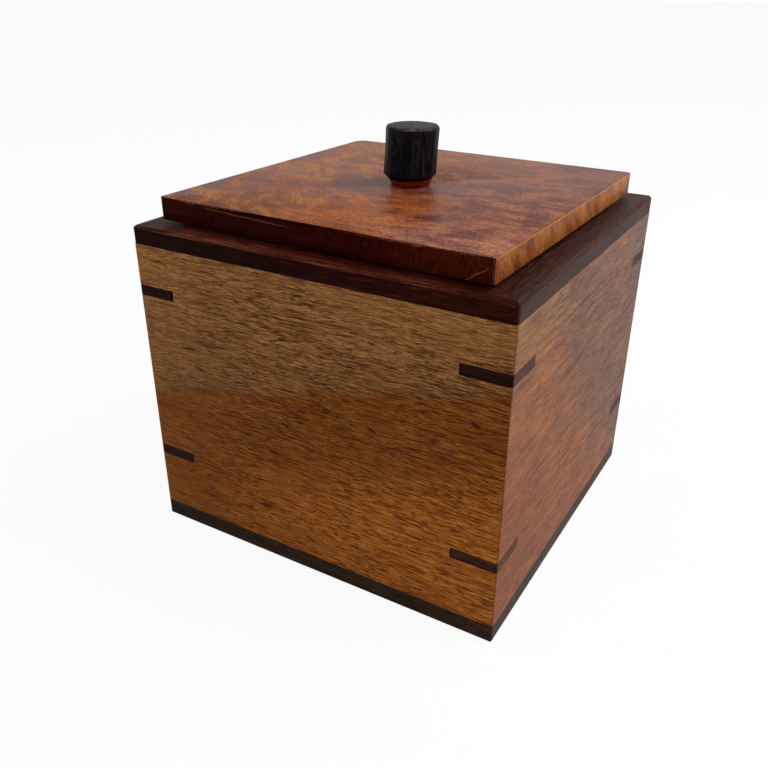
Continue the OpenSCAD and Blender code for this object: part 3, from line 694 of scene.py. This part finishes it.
def corner_cutter(corner, radius_mm, half_x, half_y, z_low, z_high):
    """What is left outside a quarter round at an upright corner; it is taken away from the piece. Its arc
    has an odd number of steps, so that no point of it lies on the mitre."""
    sx, sy = corner
    r, over, steps = radius_mm * MM, 2 * MM, 9
    centre = Vector((sx * (half_x - r), sy * (half_y - r)))
    out_x, out_y = sx * (half_x + over), sy * (half_y + over)
    ring = [Vector((out_x, out_y)), Vector((out_x, centre.y))]
    for step in range(steps + 1):
        angle = math.radians(90 * step / steps)
        ring.append(centre + Vector((sx * r * math.cos(angle), sy * r * math.sin(angle))))
    ring.append(Vector((centre.x, out_y)))
    work = bmesh.new()
    floor = [work.verts.new((p.x, p.y, z_low)) for p in ring]
    face = work.faces.new(floor)
    raised = bmesh.ops.extrude_face_region(work, geom=[face])
    verts = [item for item in raised["geom"] if isinstance(item, bmesh.types.BMVert)]
    bmesh.ops.translate(work, verts=verts, vec=(0, 0, z_high - z_low))
    bmesh.ops.recalc_face_normals(work, faces=work.faces)
    mesh = bpy.data.meshes.new("cutter")
    work.to_mesh(mesh)
    work.free()
    cutter = bpy.data.objects.new("cutter", mesh)
    bpy.context.scene.collection.objects.link(cutter)
    return cutter


def round_corners(obj, corners, radii_mm, half_x, half_y, turn_deg=0.0):
    """Rounds outer upright corners of a piece, each to its own radius."""
    lowest = min(v.co.z for v in obj.data.vertices) - 1 * MM
    highest = max(v.co.z for v in obj.data.vertices) + 1 * MM
    cutters = []
    for corner, radius in zip(corners, radii_mm):
        cutter = corner_cutter(corner, radius, half_x, half_y, lowest, highest)
        cutter.data.transform(Matrix.Rotation(math.radians(turn_deg), 4, "Z"))
        cut = obj.modifiers.new("rounded_corner", "BOOLEAN")
        cut.operation = "DIFFERENCE"
        cut.solver = "EXACT"
        cut.object = cutter
        cutters.append(cutter)
    plain_mesh(obj)
    for cutter in cutters:
        bpy.data.objects.remove(cutter)
    return obj


def paint(mesh, *choices):
    """Gives each face the last of the (material, test of its normal) choices that it passes."""
    mesh.materials.clear()
    for index, (material, test) in enumerate(choices):
        mesh.materials.append(material)
        for face in mesh.polygons:
            if test is None or test(face.normal):
                face.material_index = index


def fit(obj, material, node, body):
    """Gives a finished piece its finish, and puts it in the place of its solid."""
    if material is not None:
        paint(obj.data, (material, None))
    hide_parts(node)
    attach(obj, body)
    return obj


def middle_mm(node):
    a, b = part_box(node)
    return tuple((a[i] + b[i]) / 2 / MM for i in range(3))


# ---------- jigs for turned and repeated pieces ----------

def knob_jig():
    """A knob turned on the lathe and then pared by hand into uneven flats, bored for its spindle."""
    j = Jig(
        "pared_knob", radius=7.95, height=14.7, top_round=0.9, foot_bevel=1.2, flats=17, pared=0.22,
        waist=0.1, lean=0.3, foot_z=0.0, bore_radius=3.03, bore_depth=10.0, seed=4)
    rings, foot_rings, top_rings, points_per_flat = 20, 2, 4, 5
    flats, seed = j.size["flats"], j.size["seed"]
    body = j.make(
        "GeometryNodeMeshCylinder", {"fill_type": "TRIANGLE_FAN"}, Side_Segments=rings, Fill_Segments=3,
        Vertices=j.product(flats, points_per_flat), Radius=1.0, Depth=1.0)
    x, y, z = j.split(j.make("GeometryNodeInputPosition"))[:3]
    ring = j.product(j.maths("ADD", z, 0.5), rings)
    reach = j.maths("SQRT", j.plus(j.product(y, y), x, x))
    around = j.plus(0.5, j.maths("ARCTAN2", y, x), 0.5 / math.pi)
    along = j.maths("ADD", j.product(around, flats), 0.001)
    first = j.maths("FLOOR", along)

    def flat_corner(number):
        own = j.maths("WRAP", number, flats, 0.0)
        place = j.maths("ADD", own, j.product(j.maths("SUBTRACT", j.chance(own, seed), 0.5), 0.5))
        angle = j.product(j.maths("DIVIDE", place, flats), 2 * math.pi)
        pared = j.product(j.chance(own, j.maths("ADD", seed, 40.0)), j.size["pared"])
        out = j.maths("SUBTRACT", 1.0, j.maths("DIVIDE", pared, j.size["radius"]))
        return j.pack(
            j.product(out, j.maths("COSINE", angle)), j.product(out, j.maths("SINE", angle)), 0.0)

    share = j.maths("SUBTRACT", along, first)
    start, end = flat_corner(first), flat_corner(j.maths("ADD", first, 1.0))
    flat = j.vector("ADD", start, j.vector("SCALE", j.vector("SUBTRACT", end, start), share))

    foot = j.span(ring, 0.0, foot_rings, smooth=False)
    middle = j.span(ring, foot_rings, rings - top_rings, smooth=False)
    turn = j.span(ring, rings - top_rings, rings, 0.0, math.pi / 2, smooth=False)
    above_bevel = j.maths("SUBTRACT", j.size["height"], j.size["foot_bevel"])
    straight = j.maths("SUBTRACT", above_bevel, j.size["top_round"])
    rise = j.plus(j.product(foot, j.size["foot_bevel"]), middle, straight)
    rise = j.plus(rise, j.maths("SINE", turn), j.size["top_round"])
    inset = j.product(j.maths("SUBTRACT", 1.0, foot), j.size["foot_bevel"])
    inset = j.plus(inset, j.maths("SUBTRACT", 1.0, j.maths("COSINE", turn)), j.size["top_round"])
    inset = j.plus(inset, j.maths("SINE", j.product(middle, math.pi)), j.size["waist"])
    paring = j.noise(j.vector("MULTIPLY", j.vector("ADD", flat, (7.0, 0.0, 0.0)), (5.0, 5.0, 1.0)), 1.0)
    inset = j.plus(inset, paring, 0.15)
    width = j.product(reach, j.maths("SUBTRACT", j.size["radius"], inset))
    tilt = j.product(j.plus(-1.0, middle, 2.0), j.size["lean"])
    place = j.vector("ADD", j.vector("SCALE", flat, width), j.vector("SCALE", (0.86, 0.5, 0.0), tilt))
    place = j.vector("ADD", place, j.pack(0.0, 0.0, j.maths("ADD", rise, j.size["foot_z"])))
    shaped = j.make("GeometryNodeSetPosition", Geometry=body, Position=place)

    bore = j.make(
        "GeometryNodeMeshCylinder", {"fill_type": "NGON"}, Vertices=40, Radius=j.size["bore_radius"],
        Depth=j.product(j.size["bore_depth"], 2.0))
    j.close(j.joined("DIFFERENCE", shaped, j.moved(bore, z=j.size["foot_z"])))
    return j


def screw_jig():
    """Slotted screws driven upwards from below, their heads at head_z, each turned to its own stop."""
    j = Jig(
        "slotted_screw", head_radius=2.5, head_top_radius=1.25, head_height=1.25, shank_radius=1.25,
        length=11.0, slot_width=0.8, slot_depth=0.62, pitch=0.95, thread=0.28, point=2.0, head_z=0.0,
        count=1, spread_x=0.0, spread_y=0.0, seed=2)
    head = j.make(
        "GeometryNodeMeshCone", {"fill_type": "NGON"}, Vertices=40, Radius_Top=j.size["head_top_radius"],
        Radius_Bottom=j.size["head_radius"], Depth=j.size["head_height"])
    slot_size = j.pack(
        j.product(j.size["head_radius"], 3.0), j.size["slot_width"], j.product(j.size["slot_depth"], 2.0))
    head = j.joined("DIFFERENCE", head, j.make("GeometryNodeMeshCube", Size=slot_size))
    start = j.maths("ADD", j.size["slot_depth"], 0.1)
    run = j.maths("SUBTRACT", j.size["length"], start)
    shank = j.make(
        "GeometryNodeMeshCylinder", {"fill_type": "NGON"}, Vertices=20, Side_Segments=72,
        Radius=1.0, Depth=1.0)
    x, y, z = j.split(j.make("GeometryNodeInputPosition"))[:3]
    up = j.product(j.maths("ADD", z, 0.5), run)
    around = j.product(j.maths("ARCTAN2", y, x), 0.5 / math.pi)
    coil = j.maths("FRACT", j.maths("SUBTRACT", j.maths("DIVIDE", up, j.size["pitch"]), around))
    valley = j.maths("ABSOLUTE", j.plus(-1.0, coil, 2.0))
    threaded = j.span(up, 1.5, 2.5)
    width = j.plus(j.size["shank_radius"], j.product(valley, threaded), j.product(j.size["thread"], -1.0))
    width = j.product(width, j.span(up, j.maths("SUBTRACT", run, j.size["point"]), run, 1.0, 0.4, False))
    shank_place = j.pack(j.product(x, width), j.product(y, width), j.maths("ADD", up, start))
    shank = j.make("GeometryNodeSetPosition", Geometry=shank, Position=shank_place)
    screw = j.joined("UNION", head, shank)
    number = j.make("GeometryNodeInputIndex")
    side = j.plus(-1.0, j.maths("MODULO", number, 2.0), 2.0)
    row = j.plus(-1.0, j.maths("FLOOR", j.maths("DIVIDE", number, 2.0)), 2.0)
    holes = j.make("GeometryNodePoints", Count=j.size["count"], Position=j.pack(
        j.product(side, j.size["spread_x"]), j.product(row, j.size["spread_y"]), j.size["head_z"]))
    turn = j.make("FunctionNodeEulerToRotation", Euler=j.pack(
        0.0, 0.0, j.product(j.chance(number, j.size["seed"]), math.pi)))
    j.close(j.make("GeometryNodeInstanceOnPoints", Points=holes, Instance=screw, Rotation=turn))
    return j


def pin_jig():
    """A turned pin with rounded ends, standing at a distance out and a bearing from the middle."""
    j = Jig("turned_pin", radius=1.5, length=9.0, rounding=0.35, foot_z=0.0, out=22.0, bearing=0.0)
    rings, end_rings = 10, 3
    rod = j.make(
        "GeometryNodeMeshCylinder", {"fill_type": "TRIANGLE_FAN"}, Vertices=32, Side_Segments=rings,
        Radius=1.0, Depth=1.0)
    x, y, z = j.split(j.make("GeometryNodeInputPosition"))[:3]
    ring = j.product(j.maths("ADD", z, 0.5), rings)
    foot = j.span(ring, 0.0, end_rings, math.pi / 2, 0.0, smooth=False)
    head = j.span(ring, rings - end_rings, rings, 0.0, math.pi / 2, smooth=False)
    straight = j.plus(j.size["length"], j.size["rounding"], -2.0)
    rise = j.product(j.span(ring, end_rings, rings - end_rings, smooth=False), straight)
    ends = j.maths("ADD", j.maths("SUBTRACT", 1.0, j.maths("SINE", foot)), j.maths("SINE", head))
    rise = j.plus(rise, ends, j.size["rounding"])
    taken = j.maths("SUBTRACT", 1.0, j.product(j.maths("COSINE", foot), j.maths("COSINE", head)))
    width = j.maths("SUBTRACT", j.size["radius"], j.product(taken, j.size["rounding"]))
    place = j.pack(j.product(x, width), j.product(y, width), j.maths("ADD", rise, j.size["foot_z"]))
    shaped = j.make("GeometryNodeSetPosition", Geometry=rod, Position=place)
    j.close(j.moved(
        shaped, j.product(j.size["out"], j.maths("COSINE", j.size["bearing"])),
        j.product(j.size["out"], j.maths("SINE", j.size["bearing"]))))
    return j


# ---------- walls, rim and base ----------

FRONT_LEFT, FRONT_RIGHT = (-1, -1), (1, -1)
BACK_LEFT, BACK_RIGHT = (-1, 1), (1, 1)
HALF_X, HALF_Y = Vector(cad_box[1]).xy
WALL_CORNER_MM = 0.8

# Wall tones are base, warm, pale and foot; the pale tone is painted sheen on the upper part.
HONEY = (shade(136, 80, 27), shade(128, 69, 12), shade(155, 107, 60), shade(173, 103, 37))
ROSE = (shade(133, 84, 56), shade(136, 83, 48), shade(116, 82, 66), shade(126, 68, 35))
PLAIN_FIGURE = {"specular": 0.05, "pores": 1.0, "run": 1.0, "ribbon": 0.0}
RIBBON_FIGURE = {"specular": 0.1, "pores": 0.55, "run": 1.4, "ribbon": 0.8}
HALF_X_MM, HALF_Y_MM = HALF_X / MM, HALF_Y / MM
front_finish = wall_wood(
    "oiled_front_board", "X", "front_panel", HALF_X_MM, HONEY, seed=0.0, rise=(11.3, 0.25), soft=1.5,
    knots_mm=((-7.7, -0.8), (20.2, 6.0), (49.2, 15.8)), **PLAIN_FIGURE)
back_finish = wall_wood(
    "oiled_back_board", "X", "back_panel", HALF_X_MM, HONEY, seed=31.0, rise=(16.0, -0.15), soft=2.0,
    **PLAIN_FIGURE)
right_finish = wall_wood(
    "oiled_right_board", "Y", "right_panel", HALF_Y_MM, ROSE, seed=13.0, rise=(4.0, -1.0), soft=18.0,
    **RIBBON_FIGURE)
left_finish = wall_wood(
    "oiled_left_board", "Y", "left_panel", HALF_Y_MM, ROSE, seed=47.0, rise=(4.0, 1.0), soft=18.0,
    **RIBBON_FIGURE)

for node, finish, slot_name, ends in (
    ("front_panel", front_finish, "wall_wood", (FRONT_LEFT, FRONT_RIGHT)),
    ("back_panel", back_finish, "wall_wood", (BACK_LEFT, BACK_RIGHT)),
    ("left_panel", left_finish, "side_wood", (FRONT_LEFT, BACK_LEFT)),
    ("right_panel", right_finish, "side_wood", (FRONT_RIGHT, BACK_RIGHT)),
):
    board = clean_copy(node, node.replace("panel", "board"))
    round_corners(board, ends, (WALL_CORNER_MM, WALL_CORNER_MM), HALF_X, HALF_Y)
    fit(ease_edges(board, 0.1), finish, node, "box")

WENGE = (shade(20, 3, 1), shade(34, 9, 3), shade(62, 26, 14))
WENGE_BASE = (shade(34, 22, 14), shade(54, 38, 26), shade(72, 54, 40))
WENGE_TOP = (shade(58, 19, 11), shade(74, 27, 17), shade(114, 60, 46))
WENGE_SHEEN = (shade(36, 14, 7), shade(56, 28, 17), shade(82, 48, 33))
WENGE_SHEEN_TOP = (shade(32, 9, 5), shade(50, 21, 14), shade(78, 42, 32))
FRONT_RIM_TURNING = ((-50.0, (0.6, 0.44, 0.44)), (50.0, (1.5, 1.32, 1.2)))
# Painted light and shade on the front rim's top: lighter and bluer at the left end, darker and redder
# from the middle on.
FRONT_TOP_PAINTED_LIGHT = ((-36.0, (1.14, 1.28, 1.35)), (2.0, (0.9, 0.72, 0.7)))


def strip_finish(side, band, grain, node, seed):
    """The wood of a strip's side: the left and right sides have more sheen, and the base is browner."""
    tones = WENGE_SHEEN if side in ("right", "left") else WENGE_BASE if band == "base" else WENGE
    return dark_wood(
        "dark_" + band + "_" + side, grain, "Z", node, tones, seed + (7 if band == "base" else 0), 0.7,
        0.07 if side in ("right", "left") else 0.02,
        turning=FRONT_RIM_TURNING if node == "rim_front_strip" else None)


def rim_top_finish(side, grain, node, seed):
    """The wood of a rim strip's top, which is even on the right and darker at its ends elsewhere; on
    the front it also carries painted light and shade along its length.
    """
    even = side == "right"
    return dark_wood(
        "dark_rim_" + side + "_top", grain, "Y" if grain == "X" else "X", node,
        WENGE_SHEEN_TOP if even else WENGE_TOP, seed + 3, 0.9, 0.06 if even else 0.04,
        ends_mm=None if even else 38.0, turning=FRONT_TOP_PAINTED_LIGHT if side == "front" else None)


for side, grain, ends, seed in (
    ("front", "X", (FRONT_LEFT, FRONT_RIGHT), 0.0),
    ("back", "X", (BACK_LEFT, BACK_RIGHT), 17.0),
    ("left", "Y", (FRONT_LEFT, BACK_LEFT), 29.0),
    ("right", "Y", (FRONT_RIGHT, BACK_RIGHT), 43.0),
):
    for band, radius_mm in (("rim", 1.1), ("base", 0.8)):
        node = band + "_" + side + "_strip"
        strip = clean_copy(node, band + "_" + side + "_moulding")
        round_corners(strip, ends, (radius_mm, radius_mm), HALF_X, HALF_Y)
        ease_edges(strip, 0.2, 3)
        faces = [(strip_finish(side, band, grain, node, seed), None)]
        if band == "rim":
            faces.append((rim_top_finish(side, grain, node, seed), lambda n: n.z > 0.6))
        paint(strip.data, *faces)
        fit(strip, None, node, "box")

bottom_finish = plain_wood(
    "bottom_board_wood", "X", "Y", middle_mm("bottom_panel"),
    (shade(196, 150, 104), shade(172, 122, 78), shade(132, 88, 52)), 3.0)
bottom = ease_edges(clean_copy("bottom_panel", "bottom_board"), 0.15)
fit(bottom, bottom_finish, "bottom_panel", "box")

KEY_END = (shade(62, 38, 31), shade(80, 50, 40), shade(104, 72, 58))
KEY_FACE = (shade(22, 5, 2), shade(38, 13, 8), shade(66, 34, 23))
KEY_OFFCUT = (shade(44, 24, 14), shade(60, 34, 20), shade(88, 58, 40))
for node, corner in (
    ("key_front_right_upper", FRONT_RIGHT), ("key_front_right_lower", FRONT_RIGHT),
    ("key_back_right_upper", BACK_RIGHT), ("key_back_right_lower", BACK_RIGHT),
    ("key_back_left_upper", BACK_LEFT), ("key_back_left_lower", BACK_LEFT),
    ("key_front_left_lower", FRONT_LEFT),
):
    tones = KEY_OFFCUT if node == "key_front_right_lower" else KEY_FACE
    finish = dark_wood(node + "_wood", "X", "Z", node, tones, 3.0 + len(node), 0.35, 0.03)
    end_finish = dark_wood(node + "_end", "Y", "Z", node, KEY_END, 13.0 + len(node), 0.5, 0.03)
    spline = clean_copy(node, node.replace("key", "spline"))
    ease_edges(round_corners(spline, (corner,), (WALL_CORNER_MM,), HALF_X, HALF_Y), 0.08)
    paint(spline.data, (finish, None), (end_finish, lambda n: abs(n.x) > 0.9))
    fit(spline, None, node, "box")

SECRET_KEY = (shade(18, 7, 5), shade(33, 17, 14), shade(61, 41, 34))
KEY_REACH_MM = 11.9
# The secret key's tip is painted pale, a painted highlight on its blunt end.
key_tip = KEY_REACH_MM - HALF_X_MM - middle_mm("secret_key")[0]
secret_finish = dark_wood("secret_key_wood", "X", "Z", "secret_key", SECRET_KEY, 5.0, 0.5, 0.02, key_tip)
secret_end = dark_wood("secret_key_end", "Y", "Z", "secret_key", KEY_END, 8.0, 0.5, 0.05)
secret = clean_copy("secret_key", "secret_spline")
ease_edges(round_corners(secret, (FRONT_LEFT,), (WALL_CORNER_MM,), HALF_X, HALF_Y), 0.1)
paint(secret.data, (secret_finish, None), (secret_end, lambda n: abs(n.x) > 0.9))
fit(secret, None, "secret_key", "secret_key")

BRASS = (shade(176, 138, 66), shade(206, 170, 92))
brass_flat = worked_metal("brass_blade", *BRASS, "X", middle_mm("key_tongue"))
blade = ease_edges(clean_copy("key_tongue", "secret_blade"), 0.15)
fit(blade, brass_flat, "key_tongue", "secret_key")

MAPLE = (shade(214, 178, 132), shade(194, 152, 104), shade(158, 116, 72))
inner_finish = plain_wood("inner_maple", "X", "Y", (0, 0, 80), MAPLE, 9.0)
guide = ease_edges(clean_copy("key_guide", "corner_guide"), 0.2)
fit(guide, inner_finish, "key_guide", "box")

# ---------- lid ----------

LID_TURN_DEG, LID_HALF = -0.9, 50.5 * MM
LID_CORNERS_MM = {BACK_LEFT: 3.0, BACK_RIGHT: 1.6, FRONT_LEFT: 0.7, FRONT_RIGHT: 0.5}
lid_board = clean_copy("lid_panel", "figured_lid")
round_corners(lid_board, LID_CORNERS_MM.keys(), LID_CORNERS_MM.values(), LID_HALF, LID_HALF, LID_TURN_DEG)
smooth_turned(ease_edges(lid_board, 0.35, 3))
paint(
    lid_board.data,
    (figured_face("figured_lid_face"), None),
    (dark_end("dark_lid_end"), lambda n: abs(n.y) > 0.8),
    (golden_edge("golden_lid_edge"), lambda n: abs(n.x) > 0.8),
)
fit(lid_board, None, "lid_panel", "lid")

PLUG = (shade(46, 27, 22), shade(76, 48, 38), shade(110, 78, 62))
plug_finish = dark_wood("plug_wood", "X", "Y", "lid_plug", PLUG, 61.0)
for node, name, width, finish, slot_name in (
    ("lid_plug", "lid_plug_board", 0.15, plug_finish, "dark_wood"),
    ("bolt_bed", "bolt_bed_block", 0.12, inner_finish, "inner_wood"),
    ("cover_plate", "cover_board", 0.15, inner_finish, "inner_wood"),
):
    fit(ease_edges(clean_copy(node, name), width), finish, node, "lid")

steel = worked_metal("screw_steel_finish", shade(150, 148, 142), shade(190, 188, 182), "Z", (0, 0, 75))
brass_round = worked_metal("brass_rod_finish", *BRASS, "Z", (0, 0, 90))

SCREW_HEAD_RADIUS_MM, SLOT_SHARE = 2.5, 0.16
DISC_HEAD_RADIUS_MM, DISC_HEAD_HEIGHT_MM, DISC_SHANK_MM = 2.7, 1.8, 9.0
screws = screw_jig()
screw_corner_mm = [round(abs(v) / MM, 4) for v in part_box("cover_screws")[1]]
cover_screws = screws.turn_out(
    "slotted_cover_screws", steel, count=4, head_z=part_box("cover_screws")[0][2] / MM,
    spread_x=screw_corner_mm[0] - SCREW_HEAD_RADIUS_MM,
    spread_y=screw_corner_mm[1] - SCREW_HEAD_RADIUS_MM,
    slot_width=SLOT_SHARE * 2 * SCREW_HEAD_RADIUS_MM)
fit(smooth_turned(cover_screws), None, "cover_screws", "lid")
disc_screw = screws.turn_out(
    "slotted_disc_screw", steel, head_radius=DISC_HEAD_RADIUS_MM, head_top_radius=DISC_HEAD_RADIUS_MM,
    head_height=DISC_HEAD_HEIGHT_MM, shank_radius=1.2, length=DISC_HEAD_HEIGHT_MM + DISC_SHANK_MM,
    slot_width=SLOT_SHARE * 2 * DISC_HEAD_RADIUS_MM, slot_depth=0.9, thread=0.22, pitch=0.7,
    head_z=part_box("disc_screw")[0][2] / MM)
fit(smooth_turned(disc_screw), None, "disc_screw", "knob")

pins = pin_jig()
for side, bearing_deg in (("right", 0), ("back", 90), ("left", 180), ("front", 270)):
    node = "bolt_pin_" + side
    foot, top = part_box(node)[0][2] / MM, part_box(node)[1][2] / MM
    bearing = math.radians(bearing_deg)
    pin = pins.turn_out(
        "turned_pin_" + side, brass_round, foot_z=foot, length=top - foot, bearing=bearing)
    fit(smooth_turned(pin), None, node, "bolt_" + side)
for node, name, width in (("spindle", "turned_spindle", 0.1), ("disc_washer", "turned_washer", 0.15)):
    fit(smooth_turned(ease_edges(clean_copy(node, name), width)), brass_round, node, "knob")
disc = ease_edges(clean_copy("scroll_disc", "slotted_scroll_disc"), 0.12)
fit(smooth_turned(disc), inner_finish, "scroll_disc", "knob")

BOLT_TONES = (shade(168, 100, 56), shade(146, 80, 42), shade(104, 54, 28))
for side, grain in (("right", "X"), ("back", "Y"), ("left", "X"), ("front", "Y")):
    node = "bolt_" + side
    finish = plain_wood(
        "bolt_wood_" + side, grain, "Y" if grain == "X" else "X", middle_mm(node), BOLT_TONES, 5.0)
    fit(ease_edges(clean_copy(node, "sliding_" + node), 0.3), finish, node, node)

# ---------- knob ----------

knob_finish = ebony("worked_ebony_side", shade(4, 3, 5), shade(10, 8, 11), shade(44, 40, 50), 0.04)
# The top's greyer, lighter tones are painted sheen.
knob_top_finish = ebony("worn_ebony_top", shade(4, 4, 6), shade(18, 18, 21), shade(46, 46, 51), 0.02)
knob = knob_jig().turn_out("ebony_knob", knob_finish, foot_z=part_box("knob")[0][2] / MM)
paint(smooth_turned(knob, 20).data, (knob_finish, None), (knob_top_finish, lambda n: n.z > 0.85))
fit(knob, None, "knob", "knob")

BORE_EDGE_MM, COLLAR_FOOT_MM, COLLAR_FLARE_MM = 5.0, 5.6, 0.9
collar = clean_copy("knob_collar", "turned_collar")
collar_foot, collar_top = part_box("knob_collar")[0][2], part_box("knob_collar")[1][2]
for vertex in collar.data.vertices:
    reach = vertex.co.xy.length
    if reach > BORE_EDGE_MM * MM:
        rise = (vertex.co.z - collar_foot) / (collar_top - collar_foot)
        vertex.co.xy *= (COLLAR_FOOT_MM + COLLAR_FLARE_MM * rise) * MM / reach
smooth_turned(ease_edges(collar, 0.3, 3))
fit(collar, red_collar_wood("red_collar_wood"), "knob_collar", "knob")

# ---------- stage, light and camera ----------

def pale_floor():
    """A matt floor that takes the shadow and looks nearly white from the camera."""
    f = Finish("pale_floor")
    grain = f.noise(f.stretch(f.board("X", "Y"), 30, 30, 30), 2.0)
    f.done(f.mix(f.span(grain, 0.3, 0.7), (0.86, 0.86, 0.86), (0.9, 0.9, 0.9)), 0.8, specular=0.1)
    glow = f.add("ShaderNodeEmission")
    f.join(WHITE, glow.inputs["Color"])
    share = f.product(f.seen_directly(), 0.93)
    f.blend(share, f.shader.outputs["BSDF"], glow.outputs[0], f.output.inputs["Surface"])
    return f.material


def soft_room():
    """Dim even light from all round, in front of a white backdrop."""
    world = bpy.data.worlds.new("soft_room")
    world.use_nodes = True
    room = Bench(world.node_tree)
    dim, white = room.add("ShaderNodeBackground"), room.add("ShaderNodeBackground")
    for shader, strength in ((dim, 0.35), (white, 1.0)):
        room.join(WHITE, shader.inputs["Color"])
        room.join(strength, shader.inputs["Strength"])
    out = room.add("ShaderNodeOutputWorld")
    room.blend(room.seen_directly(), dim.outputs[0], white.outputs[0], out.inputs["Surface"])
    return world


def soft_lamp(name, place, target, size, power):
    data = bpy.data.lights.new(name, "AREA")
    data.shape = "SQUARE"
    data.size = size
    data.energy = power
    lamp = bpy.data.objects.new(name, data)
    lamp.location = place
    lamp.rotation_euler = (Vector(target) - Vector(place)).to_track_quat("-Z", "Y").to_euler()
    bpy.context.scene.collection.objects.link(lamp)


def camera_at(place, target, roll, lens_mm):
    data = bpy.data.cameras.new("camera")
    data.sensor_fit = "HORIZONTAL"
    data.sensor_width = 36.0
    data.lens = lens_mm
    data.clip_start = 0.01
    data.clip_end = 50.0
    camera = bpy.data.objects.new("camera", data)
    facing = (target - place).to_track_quat("-Z", "Y").to_matrix() @ Matrix.Rotation(roll, 3, "Z")
    camera.rotation_euler = facing.to_euler()
    camera.location = place
    bpy.context.scene.collection.objects.link(camera)
    return camera


FLOOR_HALF = 6.0
floor_mesh = bpy.data.meshes.new("floor")
floor_mesh.from_pydata(
    [(x * FLOOR_HALF, y * FLOOR_HALF, 0) for x, y in (FRONT_LEFT, FRONT_RIGHT, BACK_RIGHT, BACK_LEFT)],
    [], [(0, 1, 2, 3)])
floor = bpy.data.objects.new("floor", floor_mesh)
bpy.context.scene.collection.objects.link(floor)
floor.data.materials.append(pale_floor())

soft_lamp("window_light", (0.62, 0.28, 0.85), (0, 0, 0.06), size=0.7, power=10.5)
soft_lamp("fill_light", (-0.35, -0.9, 0.6), (0, 0, 0.05), size=0.9, power=2.2)
bpy.context.scene.world = soft_room()
bpy.context.scene.camera = camera_at(
    place=Vector((0.11446, -0.20953, 0.15978)), target=Vector((0.00669, -0.02608, 0.05175)), roll=0.00608,
    lens_mm=37.974)
bpy.context.scene.view_settings.view_transform = "Standard"

bpy.context.view_layer.update()
